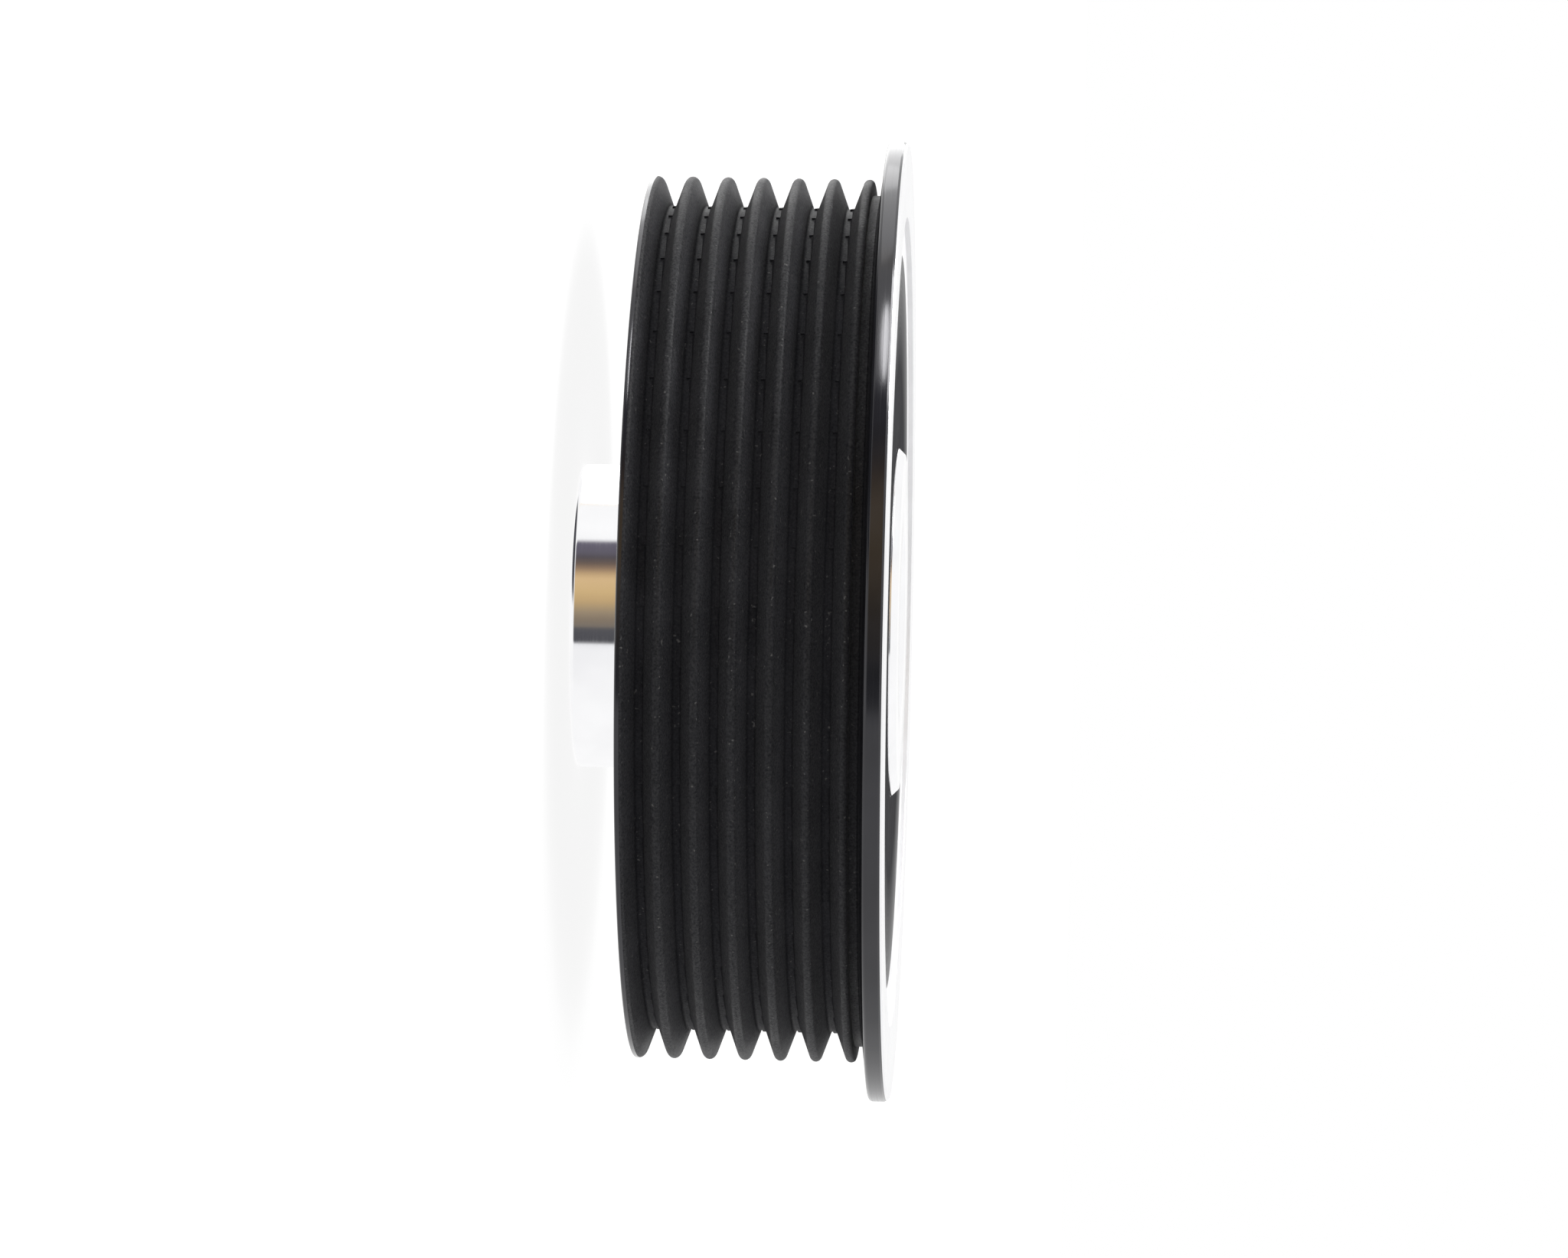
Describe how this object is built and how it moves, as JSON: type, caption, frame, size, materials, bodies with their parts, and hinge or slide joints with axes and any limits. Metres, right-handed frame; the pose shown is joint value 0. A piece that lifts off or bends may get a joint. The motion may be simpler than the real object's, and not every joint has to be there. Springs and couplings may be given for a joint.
{
  "type": "ribbed belt pulley",
  "caption": "Turned belt pulley with V-shaped ribs, one guide flange and a bright pressed-in hub whose snout stands out of the back.",
  "frame": {"origin": "on the pulley's axis, at the end of the hub's snout that the pulley stands on", "axes": "+Z along the axis, from the snout towards the flange and the hub's head"},
  "size_m": [0.0966, 0.0966, 0.0325],
  "materials": {
    "black_anodised": "black anodised, satin ribs and glossy flange",
    "polished_metal": "fine turned and polished"
  },
  "bodies": {
    "root": {"pulley_body": "black_anodised", "hub": "polished_metal"}
  },
  "joints": []
}
